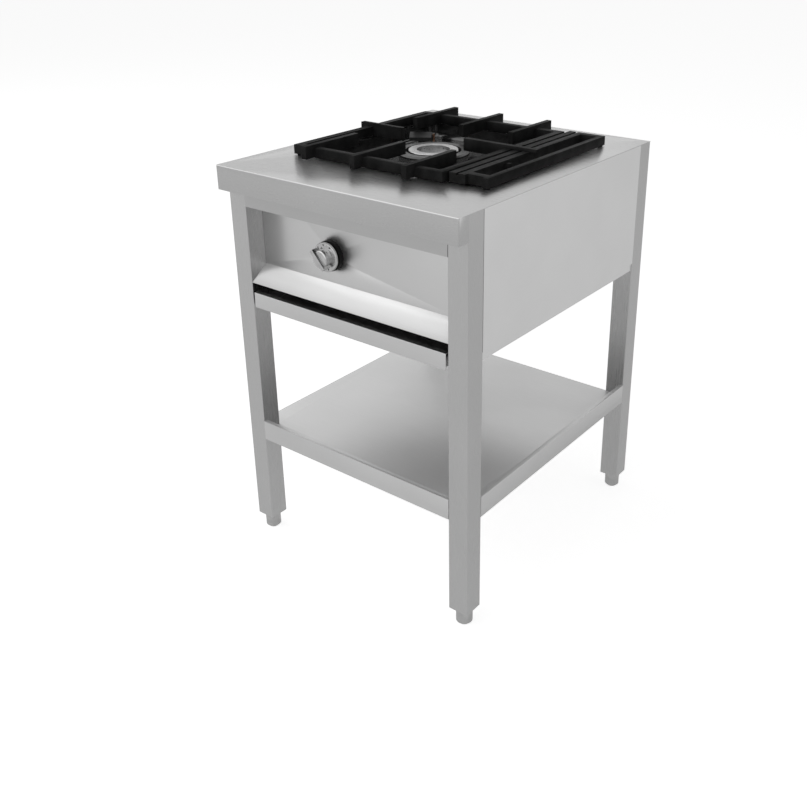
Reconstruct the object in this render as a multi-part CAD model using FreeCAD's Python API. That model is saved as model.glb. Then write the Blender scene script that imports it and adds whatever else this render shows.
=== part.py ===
import FreeCAD, Part
import os
from math import cos, pi, radians, sin, sqrt

# Stock pot range: one open gas burner in a stainless deck, on a four-legged stainless stand.
# Millimetres. X runs left to right, Y front to back, Z up from the floor under the feet.

V = FreeCAD.Vector
UP = V(0, 0, 1)

# ---- overall size ----
width = 600.0
depth = 700.0
deck_height = 870.0

# ---- sheet and tube ----
deck_sheet = 1.5
panel_sheet = 1.2
leg_side = 45.0
leg_wall = 1.5
leg_corner = 2.0
rail_width = 25.0
rail_height = 30.0
rail_wall = 1.5

# ---- worktop ----
apron_height = 50.0
apron_depth = 28.0
deck_edge_radius = 2.5

# ---- heights above the floor ----
foot_height = 38.0
shelf_height = 293.0
shelf_edge = 45.0
shelf_recess = 26.0

# ---- body sheets, as drops below the deck ----
side_panel_drop = 270.0
side_rail_drop = 287.0
front_rail_drop = 85.0
front_rail_return = 22.0
panel_return = 15.0
panel_hem = 12.0
rear_panel_recess = 28.0

# ---- control panel and lip ----
panel_setback = 43.0
lip_top_drop = 218.0
lip_bottom_drop = 249.0
lip_hem = 12.0
lip_setback = 1.0

# ---- feet ----
foot_radius = 17.0
foot_chamfer = 6.0
foot_gap = 0.3
stud_radius = 5.0
stud_fit = 0.05
stud_top = 46.0
stud_socket = 26.0
plug_height = 25.0

# ---- undershelf rims and stiffener ----
rim_hem = 9.0
rim_return = 12.0
hat_width = 60.0
hat_height = 15.0
hat_brim = 15.0

# ---- burner position on the deck ----
burner_from_left = 246.0
burner_from_front = 387.0

# ---- pan supports ----
support_gap = 2.0
bar_width = 16.0
bar_height = 19.0
fin_width = 12.0
fin_height = 26.0
fin_pitch = 130.0
frame_half_x = 192.0
frame_half_y = 218.0
frame_offset_x = 10.0
frame_offset_y = -15.0
fin_reach = 257.0
fin_length = 157.0
finger_inner = 84.0
finger_left_reach = 200.0
finger_right_reach = 262.0
finger_overhang_gap = 0.5
casting_gap = 7.0
side_casting_width = 86.0
side_casting_offset_y = -3.0
side_bar_recess = 8.0
ridge_bar_width = 36.0
ridge_groove_width = 6.0
ridge_groove_depth = 4.0
ridge_count = 2
outer_bar_width = 12.0
pad_radius = 5.0
lug_size = 10.0
lug_from_front = 130.0
lug_height = 14.0

# ---- spill bowl ----
bowl_half_x = 150.0
bowl_half_y = 182.0
bowl_depth = 31.0
bowl_sheet = 1.0
bowl_corner = 26.0
bowl_bottom_radius = 14.0
bowl_brim = 19.5
bowl_opening_clearance = 1.0
bowl_hole_radius = 47.0
bowl_collar_height = 5.0

# ---- burner ----
cradle_sheet = 2.0
cradle_width = 60.0
cradle_height = 80.0
cradle_brim = 22.0
cradle_half = 185.0
stem_radius = 18.0
stem_height = 6.0
chamber_radius = 43.0
chamber_wall = 4.0
chamber_top = 18.0
channel_inner = 62.0
channel_outer = 76.0
channel_wall = 3.0
channel_height = 9.0
channel_top = 16.0
arm_width = 22.0
arm_height = 7.0
arm_count = 4
crown_inner = 60.0
crown_outer = 78.0
crown_height = 7.0
crown_port_count = 40
crown_port_width = 2.4
crown_port_depth = 4.0
crown_port_height = 3.0
cap_radius = 54.0
cap_plate = 7.0
cap_edge = 1.0
cap_hole = 35.7
cap_neck_wall = 4.0
cap_drop = 7.5
cap_floor = 4.0
cap_cup_depth = 12.0
cap_port_count = 20
cap_port_radius = 1.5
cap_port_depth = 4.0
cap_port_drop = 5.5
cap_lug_count = 4
cap_lug_width = 16.0
cap_lug_reach = 2.0
cap_spigot_gap = 0.3
venturi_drop = 58.0
venturi_radius = 17.0
venturi_bore = 13.0
venturi_length = 205.0
mouth_radius = 22.0
mouth_bore = 19.0
mouth_length = 22.0

# ---- gas train ----
tap_from_left = 237.0
tap_drop = 160.0
tap_half = 14.0
tap_length = 42.0
spindle_radius = 4.0
spindle_fit = 0.05
spindle_inside = 18.0
spindle_flat = 3.0
plug_front_radius = 9.0
plug_back_radius = 8.0
plug_length = 24.0
plug_inset = 4.0
plug_fit = 0.05
panel_hole_radius = 6.0
push_travel = 3.5
push_margin = 0.5
nut_radius = 10.0
nut_height = 5.0
manifold_radius = 10.65
manifold_bore = 8.0
manifold_drop = 25.0
manifold_end_past_tap = 50.0
inlet_from_right = 75.0
manifold_bend = 45.0
inlet_thread_radius = 10.4775
inlet_end_inset = 4.0
tap_branch_radius = 6.0
locknut_radius = 17.0
locknut_height = 7.0
feed_radius = 5.0
feed_bore = 3.8
feed_bend = 16.0
feed_run = 34.0
holder_side = 22.0
holder_length = 18.0
injector_radius = 6.0
injector_tip_radius = 3.5
injector_length = 9.0
injector_tip_length = 5.0
injector_bore = 1.2
mouth_gap = 2.0
holder_plate = 1.5
holder_plate_width = 40.0
holder_flange = 18.0

# ---- pilot ----
pilot_offset_x = -112.0
pilot_offset_y = 96.0
pilot_turn = 35.0
pilot_half_length = 25.0
pilot_half_width = 12.0
pilot_bottom_drop = 20.0
pilot_top_drop = 4.0
pilot_roof_fall = 8.0
pilot_hood_wall = 1.5
pilot_stem_radius = 5.0
pilot_stem_drop = 72.0
pilot_hole_clearance = 1.0
pilot_pipe_radius = 3.0
pilot_pipe_bore = 2.0
pilot_pipe_bend = 20.0
pilot_pipe_rise = 5.0
couple_along = 30.0
couple_radius = 2.5
couple_top_drop = 6.0
couple_lead_radius = 1.5
couple_lead_drop = 9.0
couple_lead_bend = 14.0
pilot_plate_sheet = 1.5
pilot_plate_half = 32.0

# ---- knob ----
bezel_radius = 31.0
bezel_wall = 5.0
bezel_depth = 10.0
bezel_face = 2.0
dial_radius = 30.0
dial_thickness = 4.5
dial_chamfer = 1.0
grip_radius = 18.5
grip_length = 17.0
grip_chamfer = 2.0
blade_half_length = 23.0
blade_half_width = 4.0
blade_proud = 6.0
blade_turn = -42.0
knob_socket = 12.0
dot_count = 7
dot_radius = 1.7
dot_ring = 25.0
dot_depth = 0.6
dot_start = 60.0
dot_step = 38.0

# ---- drip tray ----
tray_front_drop = 270.0
tray_front_height = 33.0
tray_side_gap = 5.0
tray_wall = 1.2
tray_leg_gap = 10.0
tray_height = 20.0
tray_rear_gap = 10.0
tray_hem = 12.0
runner_sheet = 1.5
runner_ledge = 36.0
runner_rise = 2.6
runner_clearance = 0.3
runner_end_gap = 2.0
screw_radius = 4.0
screw_height = 2.5
runner_screws_per_side = 3

# ---- deck channels ----
channel_width = 30.0
channel_depth = 30.5
channel_sheet = 1.5
channel_lip = 10.0
channel_end_gap = 8.0

# ---- places worked out from the sizes above ----
half_width = width / 2
front = -depth / 2
back = depth / 2
deck_under = deck_height - deck_sheet
side_panel_bottom = deck_height - side_panel_drop
side_rail_bottom = deck_height - side_rail_drop
front_rail_bottom = deck_height - front_rail_drop
lip_top = deck_height - lip_top_drop
lip_bottom = deck_height - lip_bottom_drop
burner_x = burner_from_left - half_width
burner_y = burner_from_front + front
tap_x = tap_from_left - half_width
tap_z = deck_height - tap_drop
inlet_x = half_width - inlet_from_right
manifold_left = tap_x - manifold_end_past_tap
pilot_pipe_level = tap_z + pilot_pipe_rise
couple_lead_level = tap_z - couple_lead_drop
tray_front_top = deck_height - tray_front_drop
tray_front_bottom = tray_front_top - tray_front_height
leg_front = front + apron_depth
leg_front_inner = leg_front + leg_side
leg_rear_inner = back - leg_side
leg_inner = half_width - leg_side
tray_half = leg_inner - tray_leg_gap
panel_front = leg_front + panel_setback
panel_back = panel_front + panel_sheet
side_inner = half_width - panel_sheet
rail_outer = side_inner - panel_sheet
rail_inner = rail_outer - rail_width
shelf_floor = shelf_height - shelf_recess
shelf_bottom = shelf_height - shelf_edge
rear_panel_y = back - rear_panel_recess
support_bottom = deck_height + support_gap
bar_top = support_bottom + bar_height
fin_top = support_bottom + fin_height
bowl_floor = deck_height - bowl_depth
bowl_under = bowl_floor - bowl_sheet
bowl_top = deck_height + bowl_sheet
cradle_top = deck_under - cradle_height
chamber_bottom = cradle_top + stem_height
chamber_rim = deck_height - chamber_top
venturi_z = deck_height - venturi_drop
mouth_y = burner_y - venturi_length
holder_y = mouth_y - mouth_gap - injector_length - holder_length
manifold_y = panel_back + tap_length / 2
manifold_z = tap_z - manifold_drop
pilot_x = burner_x + pilot_offset_x
pilot_y = burner_y + pilot_offset_y
couple_x = pilot_x + couple_along * cos(radians(pilot_turn))
couple_y = pilot_y + couple_along * sin(radians(pilot_turn))
bezel_front = panel_front - bezel_depth
dial_back = bezel_front - push_travel - push_margin
dial_front = dial_back - dial_thickness
grip_front = dial_front - grip_length
runner_top = tray_front_bottom + runner_rise
runner_floor = runner_top - runner_sheet
tray_floor = runner_top + runner_clearance


def box(x0, y0, z0, x1, y1, z1):
    return Part.makeBox(x1 - x0, y1 - y0, z1 - z0, V(x0, y0, z0))


def rod(radius, start, end):
    axis = end - start
    return Part.makeCylinder(radius, axis.Length, start, axis)


def tube(radius, bore, start, end):
    return rod(radius, start, end).cut(rod(bore, start, end))


def cone(radius_start, radius_end, start, end):
    axis = end - start
    return Part.makeCone(radius_start, radius_end, axis.Length, start, axis)


def fuse(shapes):
    whole = shapes[0].multiFuse(shapes[1:])
    return whole.removeSplitter()


def edges_along(shape, direction, keep):
    """Straight edges parallel to a direction whose middle point passes the test keep."""
    chosen = []
    for edge in shape.Edges:
        ends = [vertex.Point for vertex in edge.Vertexes]
        if len(ends) != 2:
            continue
        span = ends[1] - ends[0]
        if span.Length < 1e-6 or abs(abs(span.normalize().dot(direction)) - 1) > 1e-6:
            continue
        if keep((ends[0] + ends[1]) * 0.5):
            chosen.append(edge)
    return chosen


def edges_in_front_of(shape, y):
    return [edge for edge in shape.Edges if edge.BoundBox.YMax < y]


def anywhere(point):
    return True


def offset_line(points, thickness):
    """The line moved sideways by the sheet's thickness, with mitred corners."""
    moved = []
    last = len(points) - 1
    for i, (u, v) in enumerate(points):
        normals = []
        for a, b in ((i - 1, i), (i, i + 1)):
            if a < 0 or b > last:
                continue
            du = points[b][0] - points[a][0]
            dv = points[b][1] - points[a][1]
            length = sqrt(du * du + dv * dv)
            normals.append((-dv / length, du / length))
        nu = sum(n[0] for n in normals)
        nv = sum(n[1] for n in normals)
        scale = thickness * len(normals) / (nu * nu + nv * nv) if len(normals) == 2 else thickness
        moved.append((u + nu * scale, v + nv * scale))
    return moved


def folded(points, thickness, place, sweep):
    """Sheet metal: a folded line in a plane, given its thickness and swept straight."""
    outline = list(points) + offset_line(points, thickness)[::-1]
    corners = [place(u, v) for u, v in outline]
    corners.append(corners[0])
    return Part.Face(Part.makePolygon(corners)).extrude(sweep)


def bent_path(points, radius):
    """Straight runs joined by tangent arcs of one radius."""
    edges = []
    start = points[0]
    for before, corner, after in zip(points, points[1:], points[2:]):
        into = (corner - before).normalize()
        out = (after - corner).normalize()
        half_turn = into.getAngle(out) / 2
        reach = radius * sin(half_turn) / cos(half_turn)
        arc_start = corner - into * reach
        arc_end = corner + out * reach
        inward = (out - into).normalize()
        middle = corner + inward * (radius / cos(half_turn) - radius)
        edges.append(Part.LineSegment(start, arc_start).toShape())
        edges.append(Part.Arc(arc_start, middle, arc_end).toShape())
        start = arc_end
    edges.append(Part.LineSegment(start, points[-1]).toShape())
    return Part.Wire(edges)


def swept_rod(points, bend, radius):
    path = bent_path(points, bend)
    ring = Part.Wire(Part.makeCircle(radius, points[0], points[1] - points[0]))
    return path.makePipeShell([ring], True, False)


def bent_tube(points, bend, radius, bore):
    return swept_rod(points, bend, radius).cut(swept_rod(points, bend, bore))


def turned(profile):
    """A solid of revolution about the burner's axis, from (radius, height) points."""
    corners = [V(r, 0, z) for r, z in profile]
    corners.append(corners[0])
    solid = Part.Face(Part.makePolygon(corners)).revolve(V(0, 0, 0), UP, 360)
    solid.translate(V(burner_x, burner_y, 0))
    return solid


def mirrored(shape):
    return shape.mirror(V(0, 0, 0), V(1, 0, 0))


def save(name, *solids):
    shape = solids[0] if len(solids) == 1 else Part.makeCompound(list(solids))
    shape.exportStep(os.path.join("parts", name + ".step"))


# ---- legs, plugs and feet ----
leg_centre_x = half_width - leg_side / 2
leg_centres = {
    "front_left": (-leg_centre_x, leg_front + leg_side / 2),
    "front_right": (leg_centre_x, leg_front + leg_side / 2),
    "rear_left": (-leg_centre_x, back - leg_side / 2),
    "rear_right": (leg_centre_x, back - leg_side / 2),
}


def square_post(x, y, side, corner, z0, z1):
    half = side / 2
    post = box(x - half, y - half, z0, x + half, y + half, z1)
    return post.makeFillet(corner, edges_along(post, UP, anywhere))


def leg(x, y):
    outside = square_post(x, y, leg_side, leg_corner, foot_height, deck_under)
    bore = square_post(x, y, leg_side - 2 * leg_wall, leg_corner - leg_wall, foot_height, deck_under)
    return outside.cut(bore)


def leg_plug(x, y):
    side = leg_side - 2 * leg_wall
    plug = square_post(x, y, side, leg_corner - leg_wall, foot_height, foot_height + plug_height)
    return plug.cut(rod(stud_radius + stud_fit, V(x, y, foot_height), V(x, y, foot_height + plug_height)))


def foot(x, y):
    top = foot_height - foot_gap
    body = rod(foot_radius, V(x, y, foot_chamfer), V(x, y, top))
    toe = cone(foot_radius - foot_chamfer, foot_radius, V(x, y, 0), V(x, y, foot_chamfer))
    return fuse([body, toe]).cut(rod(stud_radius, V(x, y, top - stud_socket), V(x, y, top)))


def foot_stud(x, y):
    bottom = foot_height - foot_gap - stud_socket
    return rod(stud_radius, V(x, y, bottom), V(x, y, foot_height + stud_top))


# ---- worktop and the sheets of the body ----
def bowl_block(grow, bottom, top):
    """The spill bowl's plan shape, grown sideways, between two levels."""
    x = bowl_half_x + grow
    y = bowl_half_y + grow
    block = box(burner_x - x, burner_y - y, bottom, burner_x + x, burner_y + y, top)
    return block.makeFillet(bowl_corner + grow, edges_along(block, UP, anywhere))


def rounded_apron(inset, bottom, rear):
    """The worktop's front box with its long front edge and its end corners rounded."""
    x = half_width - inset
    block = box(-x, front + inset, bottom, x, rear, deck_height - inset)
    apron_middle = deck_height - apron_height / 2
    along = edges_along(block, V(1, 0, 0), lambda p: p.y < front + deck_edge_radius and p.z > apron_middle)
    upright = edges_along(block, UP, lambda p: p.y < front + deck_edge_radius)
    return block.makeFillet(deck_edge_radius - inset, along + upright)


def worktop():
    apron_bottom = deck_height - apron_height
    plate = box(-half_width, leg_front, deck_under, half_width, back, deck_height)
    apron = rounded_apron(0.0, apron_bottom, leg_front)
    apron = apron.cut(rounded_apron(deck_sheet, apron_bottom + deck_sheet, leg_front))
    deck = fuse([plate, apron])
    return deck.cut(bowl_block(bowl_opening_clearance, deck_under, deck_height))


def front_top_rail():
    points = [
        (leg_front + front_rail_return, front_rail_bottom),
        (leg_front, front_rail_bottom),
        (leg_front, deck_under),
        (leg_front + front_rail_return, deck_under),
    ]
    rail = folded(points, -panel_sheet, lambda u, v: V(-leg_inner, u, v), V(2 * leg_inner, 0, 0))
    return rail


def control_panel():
    lip_front = leg_front + lip_setback
    points = [
        (lip_front + lip_hem, lip_bottom),
        (lip_front, lip_bottom),
        (panel_front, lip_top),
        (panel_front, deck_under),
        (panel_front + panel_return, deck_under),
    ]
    panel = folded(points, -panel_sheet, lambda u, v: V(-leg_inner, u, v), V(2 * leg_inner, 0, 0))
    hole = rod(panel_hole_radius, V(tap_x, panel_front, tap_z), V(tap_x, panel_back, tap_z))
    return panel.cut(hole)


def side_rail_block(bore):
    """The right side rail's outside, or its bore where bore is the wall's thickness."""
    return box(
        rail_inner + bore, leg_front_inner, side_rail_bottom + bore,
        rail_outer - bore, leg_rear_inner, side_rail_bottom + rail_height - bore,
    )


def side_panel():
    points = [
        (half_width - panel_return, leg_front_inner),
        (half_width, leg_front_inner),
        (half_width, leg_rear_inner),
        (half_width - panel_return, leg_rear_inner),
    ]
    height = V(0, 0, deck_under - side_panel_bottom)
    panel = folded(points, panel_sheet, lambda u, v: V(u, v, side_panel_bottom), height)
    hem_top = side_panel_bottom + panel_hem
    hem = box(rail_outer, leg_front_inner, side_panel_bottom, side_inner, leg_rear_inner, hem_top)
    return fuse([panel, hem]).cut(side_rail_block(0.0))


def rear_rail_block(bore):
    """The rear rail's outside, or its bore where bore is the wall's thickness."""
    y1 = rear_panel_y - panel_sheet
    return box(
        -leg_inner, y1 - rail_width + bore, side_rail_bottom + bore,
        leg_inner, y1 - bore, side_rail_bottom + rail_height - bore,
    )


def rear_panel():
    points = [
        (leg_inner, rear_panel_y - panel_return),
        (leg_inner, rear_panel_y),
        (-leg_inner, rear_panel_y),
        (-leg_inner, rear_panel_y - panel_return),
    ]
    height = V(0, 0, deck_under - side_panel_bottom)
    panel = folded(points, panel_sheet, lambda u, v: V(u, v, side_panel_bottom), height)
    hole_start = V(inlet_x, rear_panel_y - panel_sheet, manifold_z)
    panel = panel.cut(rod(manifold_radius, hole_start, V(inlet_x, rear_panel_y, manifold_z)))
    return panel.cut(rear_rail_block(0.0))


def side_rail():
    return side_rail_block(0.0).cut(side_rail_block(rail_wall))


def rear_rail():
    return rear_rail_block(0.0).cut(rear_rail_block(rail_wall))


# ---- undershelf ----
def shelf_rim(place, sweep):
    """A rim's fold: bottom return, outer face, top hem and the drop to the shelf's floor."""
    points = [
        (rim_return, shelf_bottom),
        (0.0, shelf_bottom),
        (0.0, shelf_height),
        (rim_hem, shelf_height),
        (rim_hem, shelf_floor - panel_sheet),
    ]
    return folded(points, -panel_sheet, place, sweep)


def undershelf():
    run = V(0, leg_rear_inner - leg_front_inner, 0)
    front_rim = shelf_rim(lambda u, v: V(-leg_inner, leg_front + u, v), V(2 * leg_inner, 0, 0))
    right_rim = shelf_rim(lambda u, v: V(half_width - u, leg_front_inner, v), run)
    inset = rim_hem - panel_sheet
    x = half_width - inset
    shelf_back = leg_rear_inner
    floor = box(-half_width, leg_front + inset, shelf_floor - panel_sheet, x, shelf_back, shelf_floor)
    for corner_x, corner_y in leg_centres.values():
        floor = floor.cut(square_post(corner_x, corner_y, leg_side, leg_corner, shelf_bottom, shelf_height))
    rear_flange = box(-half_width, shelf_back - panel_sheet, shelf_bottom, x, shelf_back, shelf_floor)
    left_flange = box(-half_width, leg_front_inner, shelf_bottom, -side_inner, shelf_back, shelf_floor)
    return fuse([floor, front_rim, right_rim, left_flange, rear_flange])


def shelf_stiffener():
    centre = (leg_front_inner + leg_rear_inner) / 2
    top = shelf_floor - panel_sheet
    half = hat_width / 2
    points = [
        (centre - half - hat_brim, top),
        (centre - half, top),
        (centre - half, top - hat_height),
        (centre + half, top - hat_height),
        (centre + half, top),
        (centre + half + hat_brim, top),
    ]
    return folded(points, -panel_sheet, lambda u, v: V(-side_inner, u, v), V(2 * side_inner, 0, 0))


# ---- deck channels and the burner's cradle ----
def deck_channel(x):
    half = channel_width / 2
    bottom = deck_under - channel_depth
    points = [
        (x - half + channel_lip, deck_under),
        (x - half, deck_under),
        (x - half, bottom),
        (x + half, bottom),
        (x + half, deck_under),
        (x + half - channel_lip, deck_under),
    ]
    y0 = panel_back + panel_return + channel_end_gap
    y1 = rear_panel_y - panel_return - channel_end_gap
    return folded(points, channel_sheet, lambda u, v: V(u, y0, v), V(0, y1 - y0, 0))


def burner_cradle():
    top = deck_under - channel_depth
    points = [
        (burner_x - cradle_half - cradle_brim / 2, top),
        (burner_x - cradle_half + cradle_brim / 2, top),
        (burner_x - cradle_half + cradle_brim / 2, cradle_top),
        (burner_x + cradle_half - cradle_brim / 2, cradle_top),
        (burner_x + cradle_half - cradle_brim / 2, top),
        (burner_x + cradle_half + cradle_brim / 2, top),
    ]
    y0 = burner_y - cradle_width / 2
    return folded(points, -cradle_sheet, lambda u, v: V(u, y0, v), V(0, cradle_width, 0))


def cradle_screws():
    screws = []
    for sign in (-1, 1):
        x = burner_x + sign * (cradle_half + cradle_brim / 4)
        z = deck_under - channel_depth - cradle_sheet
        for along in (-1, 1):
            y = burner_y + along * cradle_width / 3
            screws.append(rod(screw_radius, V(x, y, z - screw_height), V(x, y, z)))
    return screws


# ---- spill bowl ----
def pressed_block(grow, bottom, radius):
    """The bowl's outside or inside up to the brim's top, with its bottom edge rounded."""
    block = bowl_block(grow, bottom, bowl_top)
    low_edges = [edge for edge in block.Edges if edge.BoundBox.ZMax < bottom + radius]
    return block.makeFillet(radius, low_edges)


def spill_bowl():
    outside = pressed_block(0.0, bowl_under, bowl_bottom_radius)
    inside = pressed_block(-bowl_sheet, bowl_floor, bowl_bottom_radius - bowl_sheet)
    brim = bowl_block(bowl_brim, deck_height, bowl_top)
    bowl = fuse([outside, brim]).cut(inside)
    centre = V(burner_x, burner_y, bowl_under)
    collar_top = V(burner_x, burner_y, bowl_floor + bowl_collar_height)
    bowl = fuse([bowl, rod(bowl_hole_radius + bowl_sheet, centre, collar_top)])
    bowl = bowl.cut(rod(bowl_hole_radius, centre, collar_top))
    floor = UP * bowl_sheet
    pilot = V(pilot_x, pilot_y, bowl_under)
    bowl = bowl.cut(rod(pilot_stem_radius + pilot_hole_clearance, pilot, pilot + floor))
    couple = V(couple_x, couple_y, bowl_under)
    return bowl.cut(rod(couple_radius + pilot_hole_clearance, couple, couple + floor))


# ---- burner ----
def around(shape, count):
    """Copies of a piece, evenly spaced about the burner's axis."""
    copies = []
    for i in range(count):
        copy = shape.copy()
        copy.rotate(V(burner_x, burner_y, 0), UP, 360.0 * i / count)
        copies.append(copy)
    return copies


def burner_body():
    inner = chamber_radius - chamber_wall
    base = chamber_bottom + chamber_wall
    chamber = turned([
        (0, cradle_top),
        (stem_radius, cradle_top),
        (stem_radius, chamber_bottom),
        (chamber_radius, chamber_bottom),
        (chamber_radius, chamber_rim),
        (inner, chamber_rim),
        (inner, base),
        (0, base),
    ])
    top = deck_height - channel_top
    bottom = top - channel_height
    channel = turned([
        (channel_inner, bottom),
        (channel_outer, bottom),
        (channel_outer, top),
        (channel_outer - channel_wall, top),
        (channel_outer - channel_wall, bottom + channel_wall),
        (channel_inner + channel_wall, bottom + channel_wall),
        (channel_inner + channel_wall, top),
        (channel_inner, top),
    ])
    x0 = burner_x + chamber_radius - chamber_wall / 2
    x1 = burner_x + channel_inner + channel_wall / 2
    arm = box(x0, burner_y - arm_width / 2, bottom, x1, burner_y + arm_width / 2, bottom + arm_height)
    wall = V(burner_x, burner_y - inner, venturi_z)
    mouth = V(burner_x, mouth_y, venturi_z)
    throat = mouth + V(0, mouth_length, 0)
    neck = rod(venturi_radius, throat, wall)
    flare = cone(mouth_radius, venturi_radius, mouth, throat)
    body = fuse([chamber, channel, neck, flare] + around(arm, arm_count))
    bore = rod(venturi_bore, throat, V(burner_x, burner_y, venturi_z))
    return body.cut(bore).cut(cone(mouth_bore, venturi_bore, mouth, throat))


def burner_crown():
    bottom = deck_height - channel_top
    ring = turned([
        (crown_inner, bottom),
        (crown_outer, bottom),
        (crown_outer, bottom + crown_height / 2),
        (crown_outer - crown_height / 2, bottom + crown_height),
        (crown_inner, bottom + crown_height),
    ])
    x0 = burner_x + crown_outer - crown_port_depth
    x1 = x0 + 2 * crown_port_depth
    half = crown_port_width / 2
    port = box(x0, burner_y - half, bottom, x1, burner_y + half, bottom + crown_port_height)
    return ring.cut(Part.makeCompound(around(port, crown_port_count)))


def burner_cap():
    top = deck_height - cap_drop
    cup = top - cap_cup_depth
    spigot = chamber_radius - chamber_wall - cap_spigot_gap
    head = turned([
        (0, cup - cap_floor),
        (spigot, cup - cap_floor),
        (spigot, chamber_rim),
        (chamber_radius, chamber_rim),
        (chamber_radius + cap_neck_wall, top - cap_plate),
        (cap_radius, top - cap_plate),
        (cap_radius, top - cap_edge),
        (cap_radius - cap_edge, top),
        (cap_hole, top),
        (cap_hole, cup),
        (0, cup),
    ])
    lug_x = burner_x + cap_radius - cap_plate
    half = cap_lug_width / 2
    lug_end = burner_x + cap_radius + cap_lug_reach
    lug = box(lug_x, burner_y - half, top - cap_plate, lug_end, burner_y + half, top - cap_edge)
    head = fuse([head] + around(lug, cap_lug_count))
    port_z = top - cap_port_drop
    port_end = V(burner_x + cap_hole + cap_port_depth, burner_y, port_z)
    port = rod(cap_port_radius, V(burner_x + cap_hole / 2, burner_y, port_z), port_end)
    return head.cut(Part.makeCompound(around(port, cap_port_count)))


# ---- gas train ----
def tap_point(y):
    """A point on the tap's axis at a depth from front to back."""
    return V(tap_x, y, tap_z)


def gas_tap():
    x0 = tap_x - tap_half
    x1 = tap_x + tap_half
    tap_end = panel_back + tap_length
    body = box(x0, panel_back, tap_z - tap_half, x1, tap_end, tap_z + tap_half)
    branch_top = V(tap_x, manifold_y, tap_z - tap_half)
    branch = rod(tap_branch_radius, V(tap_x, manifold_y, manifold_z + manifold_bore / 2), branch_top)
    bushing = rod(panel_hole_radius, tap_point(panel_front - nut_height), tap_point(panel_back))
    body = fuse([body, branch, bushing])
    chamber_start = tap_point(panel_back + plug_inset)
    chamber_end = tap_point(panel_back + plug_inset + plug_length)
    body = body.cut(rod(spindle_radius + spindle_fit, tap_point(panel_front - nut_height), chamber_start))
    chamber = cone(plug_front_radius + plug_fit, plug_back_radius + plug_fit, chamber_start, chamber_end)
    body = body.cut(chamber)
    body = body.cut(rod(feed_bore, chamber_end, tap_point(tap_end)))
    return body.cut(rod(feed_radius, tap_point(tap_end - feed_radius), tap_point(tap_end)))


def spindle_section(radius, flat, start, end):
    """A round bar with one flat on its upper side, so that it turns what it sits in."""
    bar = rod(radius, start, end)
    above = box(tap_x - radius, start.y, tap_z + flat, tap_x + radius, end.y, tap_z + radius)
    return bar.cut(above)


def tap_plug():
    start = tap_point(panel_back + plug_inset + plug_fit)
    end = tap_point(panel_back + plug_inset + plug_length - plug_fit)
    plug = cone(plug_front_radius, plug_back_radius, start, end)
    bore_end = tap_point(panel_back + spindle_inside + push_travel + push_margin)
    bore = spindle_section(spindle_radius + spindle_fit, spindle_flat + spindle_fit, start, bore_end)
    return plug.cut(bore)


def tap_nut():
    return tube(nut_radius, panel_hole_radius, tap_point(panel_front - nut_height), tap_point(panel_front))


def tap_spindle():
    shoulder = tap_point(panel_back + plug_inset - push_travel - push_margin)
    round_part = rod(spindle_radius, tap_point(dial_front - knob_socket), shoulder)
    driver = spindle_section(spindle_radius, spindle_flat, shoulder, tap_point(panel_back + spindle_inside))
    return fuse([round_part, driver])


def gas_manifold():
    left = V(manifold_left, manifold_y, manifold_z)
    corner = V(inlet_x, manifold_y, manifold_z)
    shoulder = V(inlet_x, rear_panel_y + locknut_height, manifold_z)
    end = V(inlet_x, back - inlet_end_inset, manifold_z)
    outside = swept_rod([left, corner, shoulder], manifold_bend, manifold_radius)
    outside = fuse([outside, rod(inlet_thread_radius, shoulder, end)])
    bore_start = left + V(manifold_radius - manifold_bore, 0, 0)
    bore = swept_rod([bore_start, corner, end], manifold_bend, manifold_bore)
    socket = rod(tap_branch_radius, V(tap_x, manifold_y, manifold_z), V(tap_x, manifold_y, tap_z))
    return outside.cut(bore).cut(socket)


def hex_nut(radius, bore, start, height):
    nut = Part.Face(Part.makePolygon([
        V(start.x + radius * cos(radians(a)), start.y, start.z + radius * sin(radians(a)))
        for a in range(0, 361, 60)
    ])).extrude(V(0, height, 0))
    return nut.cut(rod(bore, start, start + V(0, height, 0)))


def inlet_locknuts():
    outer = V(inlet_x, rear_panel_y, manifold_z)
    inner = V(inlet_x, rear_panel_y - panel_sheet - locknut_height, manifold_z)
    return [hex_nut(locknut_radius, manifold_radius, start, locknut_height) for start in (outer, inner)]


def feed_route():
    start = V(tap_x, panel_back + tap_length - feed_radius, tap_z)
    holder = V(burner_x, holder_y + holder_length / 2, venturi_z - holder_side / 2)
    return [start, V(tap_x, holder.y, tap_z), V(burner_x, holder.y, tap_z + feed_run), holder]


def feed_pipe():
    return bent_tube(feed_route(), feed_bend, feed_radius, feed_bore)


def injector_bracket():
    half = holder_plate_width / 2
    bottom = venturi_z - holder_side / 2
    points = [(holder_y, bottom), (holder_y, deck_under), (holder_y - holder_flange, deck_under)]
    return folded(points, holder_plate, lambda u, v: V(burner_x - half, u, v), V(2 * half, 0, 0))


def injector_holder():
    half = holder_side / 2
    y1 = holder_y + holder_length
    block = box(burner_x - half, holder_y, venturi_z - half, burner_x + half, y1, venturi_z + half)
    middle = V(burner_x, holder_y + holder_length / 2, venturi_z)
    block = block.cut(rod(feed_bore, middle - UP * half, middle))
    return block.cut(rod(feed_bore, middle, V(burner_x, y1, venturi_z)))


def injector():
    start = V(burner_x, holder_y + holder_length, venturi_z)
    shoulder = start + V(0, injector_length, 0)
    tip = shoulder + V(0, injector_tip_length, 0)
    body = fuse([rod(injector_radius, start, shoulder), rod(injector_tip_radius, shoulder, tip)])
    return body.cut(rod(injector_bore, start, tip))


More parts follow.
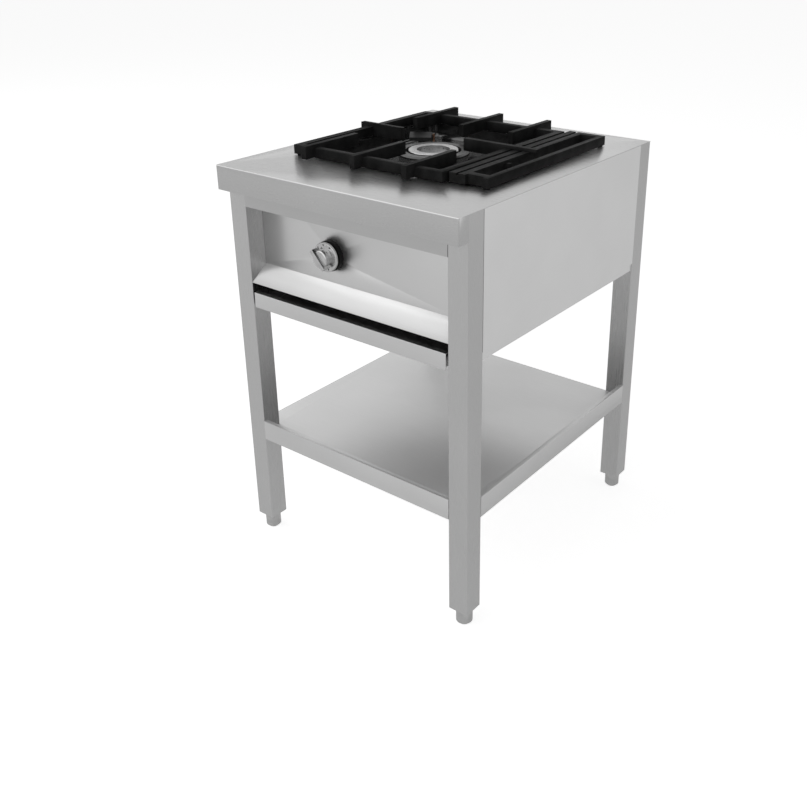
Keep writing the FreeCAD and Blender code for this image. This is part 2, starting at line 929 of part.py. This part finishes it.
# ---- pilot and thermocouple ----
def pilot_burner():
    z0 = deck_height - pilot_bottom_drop
    z1 = deck_height - pilot_top_drop
    t = pilot_hood_wall
    eaves = z1 - pilot_roof_fall
    points = [
        (-pilot_half_width, z0),
        (-pilot_half_width, eaves),
        (pilot_half_width, z1),
        (pilot_half_width, z0),
    ]
    length = V(2 * pilot_half_length, 0, 0)
    hood = folded(points, -t, lambda u, v: V(-pilot_half_length, u, v), length)
    outline = [V(-pilot_half_length, u, v) for u, v in points]
    end = Part.Face(Part.makePolygon(outline + [outline[0]])).extrude(V(t, 0, 0))
    hood = fuse([hood, end])
    floor = box(-pilot_half_length, -pilot_half_width, z0, pilot_half_length, pilot_half_width, z0 + t)
    stem = rod(pilot_stem_radius, V(0, 0, deck_height - pilot_stem_drop), V(0, 0, z0 + t))
    pilot = fuse([hood, floor, stem])
    pilot.rotate(V(0, 0, 0), UP, pilot_turn)
    pilot.translate(V(pilot_x, pilot_y, 0))
    return pilot


def pilot_plate():
    couple = V(couple_x, couple_y, 0)
    half = pilot_plate_half
    z0 = bowl_under - pilot_plate_sheet
    plate = box(pilot_x - half, pilot_y - half, z0, pilot_x + half, pilot_y + half, bowl_under)
    plate = plate.cut(rod(pilot_stem_radius, V(pilot_x, pilot_y, z0), V(pilot_x, pilot_y, bowl_under)))
    return plate.cut(rod(couple_radius, couple + UP * z0, couple + UP * bowl_under))


def pilot_pipe():
    start = V(tap_x - tap_half, panel_back + tap_length / 3, pilot_pipe_level)
    bottom = deck_height - pilot_stem_drop
    route = [
        start,
        V(pilot_x, start.y, pilot_pipe_level),
        V(pilot_x, pilot_y, pilot_pipe_level),
        V(pilot_x, pilot_y, bottom),
    ]
    return bent_tube(route, pilot_pipe_bend, pilot_pipe_radius, pilot_pipe_bore)


def thermocouple():
    x = couple_x
    y = couple_y
    start = V(tap_x - tap_half, panel_back + tap_length / 3, couple_lead_level)
    low = bowl_under - pilot_stem_drop / 3
    route = [start, V(x, start.y, couple_lead_level), V(x, y, couple_lead_level), V(x, y, low)]
    lead = swept_rod(route, couple_lead_bend, couple_lead_radius)
    tip = rod(couple_radius, V(x, y, low), V(x, y, deck_height - couple_top_drop))
    return fuse([lead, tip])


# ---- knob ----
def knob_bezel():
    back_face = V(tap_x, panel_front, tap_z)
    front_face = V(tap_x, bezel_front, tap_z)
    ring = rod(bezel_radius, front_face, back_face)
    cavity = rod(bezel_radius - bezel_wall, front_face + V(0, bezel_face, 0), back_face)
    opening = rod(nut_radius, front_face, back_face)
    ring = ring.makeFillet(dial_chamfer, edges_in_front_of(ring, bezel_front + dial_chamfer))
    return ring.cut(cavity).cut(opening)


def knob_dial():
    back_face = V(tap_x, dial_back, tap_z)
    front_face = V(tap_x, dial_front, tap_z)
    disc = rod(dial_radius, front_face, back_face)
    disc = disc.makeChamfer(dial_chamfer, edges_in_front_of(disc, dial_front + dial_chamfer))
    disc = disc.cut(rod(spindle_radius, front_face, back_face))
    for i in range(dot_count):
        angle = radians(dot_start + dot_step * i)
        centre = front_face + V(dot_ring * cos(angle), 0, dot_ring * sin(angle))
        disc = disc.cut(rod(dot_radius, centre, centre + V(0, dot_depth, 0)))
    return disc


def knob_dots():
    dots = []
    for i in range(dot_count):
        angle = radians(dot_start + dot_step * i)
        centre = V(tap_x + dot_ring * cos(angle), dial_front, tap_z + dot_ring * sin(angle))
        dots.append(rod(dot_radius, centre, centre + V(0, dot_depth, 0)))
    return dots


def knob_grip():
    barrel = rod(grip_radius, V(tap_x, grip_front, tap_z), V(tap_x, dial_front, tap_z))
    barrel = barrel.makeChamfer(grip_chamfer, edges_in_front_of(barrel, grip_front + grip_chamfer))
    y0 = grip_front - blade_proud
    y1 = dial_front - grip_length / 4
    x0 = tap_x - blade_half_width
    x1 = tap_x + blade_half_width
    blade = box(x0, y0, tap_z - blade_half_length, x1, y1, tap_z + blade_half_length)
    blade = blade.makeFillet(grip_chamfer, edges_along(blade, V(1, 0, 0), lambda p: p.y < y0 + grip_chamfer))
    blade.rotate(tap_point(y0), V(0, 1, 0), blade_turn)
    socket = rod(spindle_radius, V(tap_x, dial_front - knob_socket, tap_z), V(tap_x, dial_front, tap_z))
    return fuse([barrel, blade]).cut(socket)


# ---- pan supports ----
def support_bar(x0, y0, x1, y1):
    return box(x0, y0, support_bottom, x1, y1, bar_top)


def main_support():
    x0 = frame_offset_x - frame_half_x
    x1 = frame_offset_x + frame_half_x
    y0 = frame_offset_y - frame_half_y
    y1 = frame_offset_y + frame_half_y
    w = bar_width
    bars = [
        support_bar(x0, y0, x0 + w, y1),
        support_bar(x1 - w, y0, x1, y1),
        support_bar(x0, y0, x1, y0 + w),
        support_bar(x0, y1 - w, x1, y1),
    ]
    half = fin_width / 2
    for column in (-1, 0, 1):
        x = column * fin_pitch
        for sign in (-1, 1):
            near, far = sorted((sign * fin_reach, sign * (fin_reach - fin_length)))
            bars.append(box(x - half, near, support_bottom, x + half, far, fin_top))
    bars.append(box(-finger_left_reach, -half, support_bottom, -finger_inner, half, fin_top))
    bars.append(box(finger_inner, -half, support_bottom, x1, half, fin_top))
    bars.append(box(x1, -half, bar_top + finger_overhang_gap, finger_right_reach, half, fin_top))
    casting = fuse(bars)
    pads = []
    for x in (x0 + w / 2, x1 - w / 2):
        for y in (y0 + w / 2, y1 - w / 2):
            pad = V(x, y, deck_height)
            pads.append(rod(pad_radius, pad, pad + UP * support_gap))
    casting = fuse([casting] + pads)
    casting.translate(V(burner_x, burner_y, 0))
    return casting


def side_support():
    x0 = frame_offset_x + frame_half_x + casting_gap
    x1 = x0 + side_casting_width
    y0 = side_casting_offset_y - frame_half_y
    y1 = side_casting_offset_y + frame_half_y
    w = bar_width
    bar_front = y0 + side_bar_recess
    bars = [
        support_bar(x0, y0, x0 + ridge_bar_width, y1),
        support_bar(x1 - outer_bar_width, y0, x1, y1),
        support_bar(x0, bar_front, x1, bar_front + w),
        support_bar(x0, y1 - w, x1, y1),
    ]
    lug_x = x0 + ridge_bar_width
    lug_y = y0 + lug_from_front
    lug_top = support_bottom + lug_height
    bars.append(box(lug_x, lug_y, support_bottom, lug_x + lug_size, lug_y + lug_size, lug_top))
    casting = fuse(bars)
    ridge = (ridge_bar_width - (ridge_count - 1) * ridge_groove_width) / ridge_count
    for i in range(ridge_count - 1):
        groove_x = x0 + ridge + i * (ridge + ridge_groove_width)
        z0 = bar_top - ridge_groove_depth
        casting = casting.cut(box(groove_x, y0, z0, groove_x + ridge_groove_width, y1, bar_top))
    pads = []
    for x in (x0 + w / 2, x1 - outer_bar_width / 2):
        for y in (y0 + w / 2, y1 - w / 2):
            pad = V(x, y, deck_height)
            pads.append(rod(pad_radius, pad, pad + UP * support_gap))
    casting = fuse([casting] + pads)
    casting.translate(V(burner_x, burner_y, 0))
    return casting


# ---- drip tray and runners ----
tray_back = rear_panel_y - panel_sheet - rail_width - tray_rear_gap


def drip_tray():
    y0 = leg_front + panel_sheet
    top = tray_floor + tray_height
    pan = box(-tray_half, y0, tray_floor, tray_half, tray_back, top)
    t = tray_wall
    return pan.cut(box(-tray_half + t, y0 + t, tray_floor + t, tray_half - t, tray_back - t, top))


def tray_front():
    x = leg_inner - tray_side_gap
    points = [
        (leg_front, tray_front_bottom),
        (leg_front, tray_front_top),
        (leg_front + tray_hem, tray_front_top),
    ]
    return folded(points, -panel_sheet, lambda u, v: V(-x, u, v), V(2 * x, 0, 0))


def tray_runner():
    wall = rail_inner
    points = [
        (wall, side_rail_bottom + rail_height),
        (wall, runner_floor),
        (wall - runner_ledge, runner_floor),
    ]
    y0 = leg_front_inner + runner_end_gap
    y1 = rear_panel_y - panel_sheet - rail_width - runner_end_gap
    return folded(points, -runner_sheet, lambda u, v: V(u, y0, v), V(0, y1 - y0, 0))


def tray_runner_screws():
    wall = rail_inner - runner_sheet
    z = side_rail_bottom + rail_height / 2
    span = leg_rear_inner - leg_front_inner
    screws = []
    for i in range(runner_screws_per_side):
        y = leg_front_inner + span * (i + 0.5) / runner_screws_per_side
        screw = rod(screw_radius, V(wall - screw_height, y, z), V(wall, y, z))
        screws.append(screw)
        screws.append(mirrored(screw))
    return screws


os.makedirs("parts", exist_ok=True)
for corner_name, (corner_x, corner_y) in leg_centres.items():
    save("leg_" + corner_name, leg(corner_x, corner_y))
    save("foot_" + corner_name, foot(corner_x, corner_y))
    save("foot_stud_" + corner_name, foot_stud(corner_x, corner_y))
save("leg_plugs", *[leg_plug(x, y) for x, y in leg_centres.values()])
save("worktop", worktop())
save("front_top_rail", front_top_rail())
save("control_panel", control_panel())
save("side_panel_right", side_panel())
save("side_panel_left", mirrored(side_panel()))
save("rear_panel", rear_panel())
save("side_rail_right", side_rail())
save("side_rail_left", mirrored(side_rail()))
save("rear_rail", rear_rail())
save("undershelf", undershelf())
save("shelf_stiffener", shelf_stiffener())
save("deck_channel_left", deck_channel(burner_x - cradle_half))
save("deck_channel_right", deck_channel(burner_x + cradle_half))
save("burner_cradle", burner_cradle())
save("cradle_screws", *cradle_screws())
save("spill_bowl", spill_bowl())
save("burner_body", burner_body())
save("burner_crown", burner_crown())
save("burner_cap", burner_cap())
save("gas_tap", gas_tap())
save("tap_plug", tap_plug())
save("tap_nut", tap_nut())
save("tap_spindle", tap_spindle())
save("gas_manifold", gas_manifold())
save("inlet_locknuts", *inlet_locknuts())
save("feed_pipe", feed_pipe())
save("injector_bracket", injector_bracket())
save("injector_holder", injector_holder())
save("injector", injector())
save("pilot_burner", pilot_burner())
save("pilot_plate", pilot_plate())
save("pilot_pipe", pilot_pipe())
save("thermocouple", thermocouple())
save("knob_bezel", knob_bezel())
save("knob_dial", knob_dial())
save("knob_dots", *knob_dots())
save("knob_grip", knob_grip())
save("main_pan_support", main_support())
save("side_pan_support", side_support())
save("drip_tray", drip_tray())
save("drip_tray_front", tray_front())
save("tray_runner_right", tray_runner())
save("tray_runner_left", mirrored(tray_runner()))
save("tray_runner_screws", *tray_runner_screws())
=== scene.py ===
import bpy
from mathutils import Matrix, Vector

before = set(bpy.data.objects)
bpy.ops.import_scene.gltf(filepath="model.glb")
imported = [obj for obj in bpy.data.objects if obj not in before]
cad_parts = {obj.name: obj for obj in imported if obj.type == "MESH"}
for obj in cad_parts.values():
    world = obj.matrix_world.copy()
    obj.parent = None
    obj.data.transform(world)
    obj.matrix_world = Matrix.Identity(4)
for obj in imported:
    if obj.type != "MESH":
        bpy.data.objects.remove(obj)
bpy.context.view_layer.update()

# Levelling feet.
# Each foot is turned from stainless bar with a chamfered toe, on a zinc-plated stud
# that screws up into a black moulded plug driven into the end of the leg.

FOOT_GREY = 0.46
STUD_GREY = 0.5
PLUG_BLACK = 0.02
NOISE_LOW, NOISE_HIGH = 0.3, 0.7
EVERY_WAY = (1.0, 1.0, 1.0)


def new_finish(name, metallic):
    """A finish to fill in: its node tree, its surface shader and places in the object's own metres."""
    finish = bpy.data.materials.new(name)
    finish.use_nodes = True
    tree = finish.node_tree
    surface = tree.nodes["Principled BSDF"]
    surface.inputs["Metallic"].default_value = metallic
    places = tree.nodes.new("ShaderNodeTexCoord").outputs["Object"]
    return finish, tree, surface, places


def grain(tree, places, stretch, size, detail=3.0):
    """Noise in the metal, drawn out along the axis whose stretch is smallest."""
    scaled = tree.nodes.new("ShaderNodeVectorMath")
    scaled.operation = "MULTIPLY"
    scaled.inputs[1].default_value = stretch
    tree.links.new(places, scaled.inputs[0])
    noise = tree.nodes.new("ShaderNodeTexNoise")
    noise.inputs["Scale"].default_value = size
    noise.inputs["Detail"].default_value = detail
    tree.links.new(scaled.outputs[0], noise.inputs["Vector"])
    return noise.outputs["Fac"]


def between(tree, amount, low, high):
    """A number that runs from low to high as the noise goes from dark to light."""
    ramp = tree.nodes.new("ShaderNodeMapRange")
    ramp.inputs["From Min"].default_value = NOISE_LOW
    ramp.inputs["From Max"].default_value = NOISE_HIGH
    ramp.inputs["To Min"].default_value = low
    ramp.inputs["To Max"].default_value = high
    tree.links.new(amount, ramp.inputs["Value"])
    return ramp.outputs["Result"]


def shades(tree, amount, dark, light):
    """A colour that runs from dark to light as the noise does."""
    ramp = tree.nodes.new("ShaderNodeValToRGB")
    ramp.color_ramp.elements[0].position = NOISE_LOW
    ramp.color_ramp.elements[1].position = NOISE_HIGH
    ramp.color_ramp.elements[0].color = (*dark, 1.0)
    ramp.color_ramp.elements[1].color = (*light, 1.0)
    tree.links.new(amount, ramp.inputs["Fac"])
    return ramp.outputs["Color"]


def raised(tree, surface, height, strength, distance):
    """Fine relief on the surface from the noise."""
    bump = tree.nodes.new("ShaderNodeBump")
    bump.inputs["Strength"].default_value = strength
    bump.inputs["Distance"].default_value = distance
    tree.links.new(height, bump.inputs["Height"])
    tree.links.new(bump.outputs["Normal"], surface.inputs["Normal"])


def turned_metal(name, grey, rough, tint=(1.0, 1.0, 1.0)):
    """Bar metal off the lathe: fine rings round it and a slight mottle from handling."""
    ring_scale, mottle_scale = 900.0, 70.0
    darker, lighter = 0.88, 1.08
    polish, drag = 0.05, 0.07
    finish, tree, surface, places = new_finish(name, 1.0)
    rings = grain(tree, places, EVERY_WAY, ring_scale)
    mottle = grain(tree, places, EVERY_WAY, mottle_scale)
    dark = [darker * grey * t for t in tint]
    light = [lighter * grey * t for t in tint]
    tree.links.new(shades(tree, mottle, dark, light), surface.inputs["Base Color"])
    tree.links.new(between(tree, rings, rough - polish, rough + drag), surface.inputs["Roughness"])
    raised(tree, surface, rings, strength=0.08, distance=0.0002)
    return finish


def finished(nodes, finish):
    """The frame's own pieces get a finish."""
    for node in nodes:
        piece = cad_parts[node]
        piece.data.materials.clear()
        piece.data.materials.append(finish)


def eased(nodes, radius, segments=2):
    """Edges broken by a small radius, as a press brake, a mould or a file leaves them."""
    weld_reach, sharp_from = 0.00001, 0.6
    for node in nodes:
        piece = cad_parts[node]
        weld = piece.modifiers.new("joined_faces", "WELD")
        weld.merge_threshold = weld_reach
        edge = piece.modifiers.new("eased_edges", "BEVEL")
        edge.width = radius
        edge.segments = segments
        edge.limit_method = "ANGLE"
        edge.angle_limit = sharp_from
        edge.harden_normals = True
        for face in piece.data.polygons:
            face.use_smooth = True


corners = ["front_left", "front_right", "rear_left", "rear_right"]
feet = ["foot_" + corner for corner in corners]
studs = ["foot_stud_" + corner for corner in corners]
foot_metal = turned_metal("turned_stainless_foot", FOOT_GREY, 0.3)
ZINC_TINT = (0.97, 0.99, 1.0)
stud_plating = turned_metal("zinc_plated_steel", STUD_GREY, 0.34, ZINC_TINT)
finished(feet, foot_metal)
finished(studs, stud_plating)
eased(feet, 0.0006)


def moulded_black(name, grey, rough):
    """Black plastic straight from the mould, with a very fine spark-eroded texture."""
    spark_scale, patch_scale = 1400.0, 60.0
    dark, light = [0.8 * grey] * 3, [1.3 * grey] * 3
    finish, tree, surface, places = new_finish(name, 0.0)
    texture = grain(tree, places, EVERY_WAY, spark_scale)
    patches = grain(tree, places, EVERY_WAY, patch_scale)
    tree.links.new(shades(tree, patches, dark, light), surface.inputs["Base Color"])
    tree.links.new(between(tree, texture, rough - 0.04, rough + 0.08), surface.inputs["Roughness"])
    raised(tree, surface, texture, strength=0.15, distance=0.0001)
    return finish


plug_plastic = moulded_black("black_moulded_plastic", PLUG_BLACK, 0.4)
finished(["leg_plugs"], plug_plastic)

# Legs.
# Four 45 mm square stainless tubes, brushed along their length before they are cut,
# with the tube's own small corner radius.

LEG_GREY = 0.48
LONG_GRAIN_Z = (1.0, 1.0, 0.012)


def brushed_stainless(name, grey, stretch, rough=0.36):
    """Stainless sheet or tube: a satin grain along one axis, and the faint clouds of rolled metal."""
    line_scale, cloud_scale = 1500.0, 5.0
    dark, light = [0.975 * grey] * 3, [1.025 * grey] * 3
    finish, tree, surface, places = new_finish(name, 1.0)
    lines = grain(tree, places, stretch, line_scale, 4.0)
    clouds = grain(tree, places, EVERY_WAY, cloud_scale, 2.0)
    tree.links.new(shades(tree, clouds, dark, light), surface.inputs["Base Color"])
    tree.links.new(between(tree, lines, rough - 0.05, rough + 0.05), surface.inputs["Roughness"])
    raised(tree, surface, lines, strength=0.05, distance=0.0002)
    return finish


legs = ["leg_" + corner for corner in corners]
leg_steel = brushed_stainless("stainless_grain_upright", LEG_GREY, LONG_GRAIN_Z, 0.3)
finished(legs, leg_steel)

# Undershelf.
# One stainless sheet with a hemmed rim folded up at the front and right, turned down at the left
# and back, with a folded hat section spot-welded under it as a stiffener.

LONG_GRAIN_X = (0.012, 1.0, 1.0)
SHELF_GREY = 0.58

shelf_steel = brushed_stainless("stainless_shelf", SHELF_GREY, LONG_GRAIN_X, 0.48)
finished(["undershelf", "shelf_stiffener"], shelf_steel)
eased(["undershelf"], 0.0005)

# Rails and side panels.
# Folded stainless: a channel along each side and the back, a rail across the front under the apron,
# and flat hemmed panels that close the body's sides and back.

LONG_GRAIN_Y = (1.0, 0.012, 1.0)
PANEL_GREY = 0.58
# The side steel is the same brushed sheet as the front panel, given a lighter grey: painted light that
# makes the right side read brighter.
SIDE_PAINTED_LIGHT_GREY = 0.7
# The front rail under the apron is given a darker grey than the panel: painted shade from the apron's
# overhang.
BAND_PAINTED_SHADE_GREY = 0.45

panel_steel = brushed_stainless("stainless_grain_across", PANEL_GREY, LONG_GRAIN_X)
side_steel_painted_light = brushed_stainless("stainless_grain_front_to_back_painted_light", SIDE_PAINTED_LIGHT_GREY, LONG_GRAIN_Y)
band_steel_painted_shade = brushed_stainless("stainless_band_painted_shade", BAND_PAINTED_SHADE_GREY, LONG_GRAIN_X)
side_panels = ["side_panel_left", "side_panel_right"]
side_rails = ["side_rail_left", "side_rail_right"]
finished(side_panels + side_rails, side_steel_painted_light)
finished(["rear_panel", "rear_rail"], panel_steel)
finished(["front_top_rail"], band_steel_painted_shade)

# Control panel.
# A stainless sheet set back behind the legs, folded forward at its foot into a sloping lip
# that throws drips clear of the tray.

finished(["control_panel"], panel_steel)
eased(["control_panel"], 0.0005)

# Drip tray and its runners.
# A folded stainless pan that slides out on two plain ledges, with a folded front for the fingers.
# Pan-headed screws hold the ledges to the side rails.

finished(["drip_tray"], shelf_steel)
finished(["drip_tray_front"], panel_steel)
finished(["tray_runner_left", "tray_runner_right"], side_steel_painted_light)
finished(["tray_runner_screws"], stud_plating)
eased(["drip_tray_front"], 0.0005)

# Gas train.
# A drawn steel manifold with brass locknuts at the inlet, a brass tap, copper feed pipe,
# and a brass injector in a bracket under the burner's mouth.

PIPE_GREY = 0.3
BRASS_LIGHT, BRASS_TINT = 0.55, (1.05, 0.8, 0.38)
COPPER_LIGHT, COPPER_TINT = 0.6, (1.05, 0.58, 0.38)

pipe_steel = turned_metal("drawn_steel_pipe", PIPE_GREY, 0.42)
brass = turned_metal("turned_brass", BRASS_LIGHT, 0.28, BRASS_TINT)
copper = turned_metal("drawn_copper", COPPER_LIGHT, 0.3, COPPER_TINT)
finished(["gas_manifold"], pipe_steel)
finished(["inlet_locknuts", "gas_tap", "tap_plug", "injector_holder", "injector"], brass)
finished(["feed_pipe"], copper)
finished(["tap_nut", "tap_spindle", "injector_bracket"], stud_plating)

# Burner body.
# One casting with its stem, venturi and four arms, nickel plated where it shows,
# screwed to a pressed cradle under the deck.

PLATED_GREY = 0.42


def plated_casting(name, grey, rough):
    """Plated cast metal: bright, but with the pits and soft waves of the sand mould under the plate."""
    pit_scale, wave_scale = 420.0, 60.0
    dark, light = [0.82 * grey] * 3, [1.1 * grey] * 3
    finish, tree, surface, places = new_finish(name, 1.0)
    pits = grain(tree, places, EVERY_WAY, pit_scale, 5.0)
    waves = grain(tree, places, EVERY_WAY, wave_scale, 2.0)
    tree.links.new(shades(tree, waves, dark, light), surface.inputs["Base Color"])
    tree.links.new(between(tree, pits, rough - 0.07, rough + 0.1), surface.inputs["Roughness"])
    raised(tree, surface, pits, strength=0.25, distance=0.0004)
    return finish


burner_plate = plated_casting("nickel_plated_casting", PLATED_GREY, 0.3)
finished(["burner_body", "burner_cap"], burner_plate)
finished(["burner_cradle", "cradle_screws"], stud_plating)

# Worktop.
# The deck is one stainless sheet with a large opening for the bowl, folded down into the front apron,
# stiffened underneath by a folded channel at each side.

DECK_GREY = 0.47

deck_steel = brushed_stainless("stainless_deck", DECK_GREY, LONG_GRAIN_X, 0.3)
finished(["worktop"], deck_steel)
finished(["deck_channel_left", "deck_channel_right"], side_steel_painted_light)
eased(["worktop"], 0.0006)

# Spill bowl.
# A deep-drawn steel pan in glossy black enamel, resting by its brim on the deck round the opening.

ENAMEL_BLACK = 0.012


def black_enamel(name, grey, rough):
    """Fired enamel: black glass over steel, with a slight orange peel."""
    peel_scale, dust_scale = 260.0, 45.0
    finish, tree, surface, places = new_finish(name, 0.0)
    peel = grain(tree, places, EVERY_WAY, peel_scale, 2.0)
    dust = grain(tree, places, EVERY_WAY, dust_scale, 4.0)
    tree.links.new(shades(tree, dust, [grey] * 3, [1.8 * grey] * 3), surface.inputs["Base Color"])
    tree.links.new(between(tree, dust, rough, rough + 0.1), surface.inputs["Roughness"])
    surface.inputs["Coat Weight"].default_value = 0.6
    surface.inputs["Coat Roughness"].default_value = 0.08
    raised(tree, surface, peel, strength=0.12, distance=0.0006)
    return finish


enamel = black_enamel("black_enamel", ENAMEL_BLACK, 0.16)
finished(["spill_bowl"], enamel)

# Burner crown and cap.
# A dark bare ring with slots milled round it sits on the body's channel,
# and the plated cap with its ring of round flame ports drops into the middle.

RING_GREY = 0.09

dark_ring = plated_casting("bare_dark_casting", RING_GREY, 0.42)
finished(["burner_crown"], dark_ring)

# Pilot burner.
# A small hooded jet beside the burner with its thermocouple, on a zinc plate,
# fed by a thin copper pipe from the tap.

HOOD_GREY = 0.05

hood_steel = turned_metal("heat_darkened_steel", HOOD_GREY, 0.45)
finished(["pilot_burner"], hood_steel)
finished(["pilot_plate"], stud_plating)
finished(["pilot_pipe", "thermocouple"], copper)

# Knob.
# A black moulded bezel on the panel, a satin chrome dial with sunk black dots,
# and a chrome grip with a blade across it, on the tap's spindle.

CHROME_GREY = 0.5
DOT_BLACK = 0.006
BEZEL_BLACK = 0.008
BEZEL_SHINE = 0.12

chrome = turned_metal("satin_chrome", CHROME_GREY, 0.22)
dot_paint = moulded_black("black_dot_paint", DOT_BLACK, 0.6)
bezel_plastic = moulded_black("black_bezel", BEZEL_BLACK, 0.5)
bezel_surface = bezel_plastic.node_tree.nodes["Principled BSDF"]
bezel_surface.inputs["Specular IOR Level"].default_value = BEZEL_SHINE
finished(["knob_bezel"], bezel_plastic)
finished(["knob_dial", "knob_grip"], chrome)
finished(["knob_dots"], dot_paint)
eased(["knob_grip", "knob_dial"], 0.0005)

# Pan supports.
# Two iron castings in satin black enamel: the main one with rails, fins and long fingers
# over the burner, and a narrow one with raised ridges at the right.

IRON_BLACK = 0.021
IRON_SHINE = 0.015


def black_cast_iron(name, grey, rough):
    """Sand-cast iron under satin black enamel: grainy skin, soft dull shine."""
    sand_scale, wear_scale = 520.0, 35.0
    dark, light = [0.7 * grey] * 3, [1.5 * grey] * 3
    finish, tree, surface, places = new_finish(name, 0.0)
    sand = grain(tree, places, EVERY_WAY, sand_scale, 5.0)
    worn = grain(tree, places, EVERY_WAY, wear_scale, 3.0)
    tree.links.new(shades(tree, worn, dark, light), surface.inputs["Base Color"])
    tree.links.new(between(tree, sand, rough - 0.08, rough + 0.1), surface.inputs["Roughness"])
    surface.inputs["Specular IOR Level"].default_value = IRON_SHINE
    raised(tree, surface, sand, strength=0.3, distance=0.0005)
    return finish


iron = black_cast_iron("satin_black_cast_iron", IRON_BLACK, 0.45)
finished(["main_pan_support", "side_pan_support"], iron)
eased(["main_pan_support", "side_pan_support"], 0.0014, 3)

# Studio.
# A white floor that keeps a faint shadow, a white surround, and soft lamps
# high on the left, in front, and low on the right.

FLOOR_HALF = 30.0
FLOOR_LEVEL = -0.0005
FLOOR_PAINT = 0.8
FLOOR_SEEN = 0.75
FLOOR_MIRRORED = 0.4
SKY_LIGHT = 0.25


def plain_floor(half, level):
    """One big sheet: white to the camera and to mirrored rays, with the object's shadow on it."""
    around = [(-half, -half), (half, -half), (half, half), (-half, half)]
    sheet = bpy.data.meshes.new("floor")
    sheet.from_pydata([(x, y, level) for x, y in around], [], [(0, 1, 2, 3)])
    ground = bpy.data.objects.new("floor", sheet)
    bpy.context.scene.collection.objects.link(ground)
    paint = bpy.data.materials.new("floor_white")
    paint.use_nodes = True
    tree = paint.node_tree
    tree.nodes.clear()
    dull = tree.nodes.new("ShaderNodeBsdfDiffuse")
    dull.inputs["Color"].default_value = (FLOOR_PAINT, FLOOR_PAINT, FLOOR_PAINT, 1.0)
    glow = tree.nodes.new("ShaderNodeEmission")
    path = tree.nodes.new("ShaderNodeLightPath")
    seen = tree.nodes.new("ShaderNodeMath")
    seen.operation = "MULTIPLY"
    seen.inputs[1].default_value = FLOOR_SEEN
    tree.links.new(path.outputs["Is Camera Ray"], seen.inputs[0])
    mirrored = tree.nodes.new("ShaderNodeMath")
    mirrored.operation = "MULTIPLY_ADD"
    mirrored.inputs[1].default_value = FLOOR_MIRRORED
    tree.links.new(path.outputs["Is Glossy Ray"], mirrored.inputs[0])
    tree.links.new(seen.outputs[0], mirrored.inputs[2])
    tree.links.new(mirrored.outputs[0], glow.inputs["Strength"])
    both = tree.nodes.new("ShaderNodeAddShader")
    tree.links.new(dull.outputs[0], both.inputs[0])
    tree.links.new(glow.outputs[0], both.inputs[1])
    out = tree.nodes.new("ShaderNodeOutputMaterial")
    tree.links.new(both.outputs[0], out.inputs["Surface"])
    sheet.materials.append(paint)


plain_floor(FLOOR_HALF, FLOOR_LEVEL)

world = bpy.data.worlds.new("white_surround")
bpy.context.scene.world = world
world.use_nodes = True
sky = world.node_tree
path = sky.nodes.new("ShaderNodeLightPath")
white = sky.nodes.new("ShaderNodeMath")
white.operation = "MAXIMUM"
sky.links.new(path.outputs["Is Camera Ray"], white.inputs[0])
sky.links.new(path.outputs["Is Glossy Ray"], white.inputs[1])
level = sky.nodes.new("ShaderNodeMapRange")
level.inputs["To Min"].default_value = SKY_LIGHT
level.inputs["To Max"].default_value = 1.0
sky.links.new(white.outputs[0], level.inputs["Value"])
sky.nodes["Background"].inputs["Color"].default_value = (1.0, 1.0, 1.0, 1.0)
sky.links.new(level.outputs["Result"], sky.nodes["Background"].inputs["Strength"])


def soft_lamp(name, spot, aim, size, power):
    """A square soft box on a stand at its spot, turned towards its aim."""
    lamp = bpy.data.lights.new(name, "AREA")
    lamp.shape = "SQUARE"
    lamp.size = size
    lamp.energy = power
    stand = bpy.data.objects.new(name, lamp)
    bpy.context.scene.collection.objects.link(stand)
    away = Vector(spot) - Vector(aim)
    stand.rotation_euler = away.to_track_quat("Z", "Y").to_euler()
    stand.location = spot


soft_lamp("lamp_left", (-3.2, -2.2, 4.2), (0.0, -0.1, 0.6), 6.4, 84.0)
soft_lamp("lamp_front", (0.2, -4.4, 2.4), (0.0, 0.0, 0.5), 4.4, 22.0)
soft_lamp("lamp_right", (3.4, 1.6, 1.2), (0.0, 0.1, 0.4), 3.4, 11.0)

# Camera.
# Placed where the photograph was taken from, in front and to the right, looking down.

FILM_WIDTH = 36.0
FOCAL_LENGTH = 42.628
FRAME_SHIFT = (-0.05762, -0.12206)
FARTHEST = 100.0

lens = bpy.data.cameras.new("camera")
lens.sensor_width = FILM_WIDTH
lens.lens = FOCAL_LENGTH
lens.shift_x, lens.shift_y = FRAME_SHIFT
lens.clip_end = FARTHEST
camera = bpy.data.objects.new("camera", lens)
bpy.context.scene.collection.objects.link(camera)
camera.matrix_world = Matrix((
    (0.79881, -0.228214, 0.556616, 1.18934),
    (0.601579, 0.306817, -0.737541, -1.55319),
    (-0.002462, 0.924003, 0.382377, 1.33609),
    (0.0, 0.0, 0.0, 1.0)))
bpy.context.scene.camera = camera

bpy.context.scene.view_settings.view_transform = "Standard"
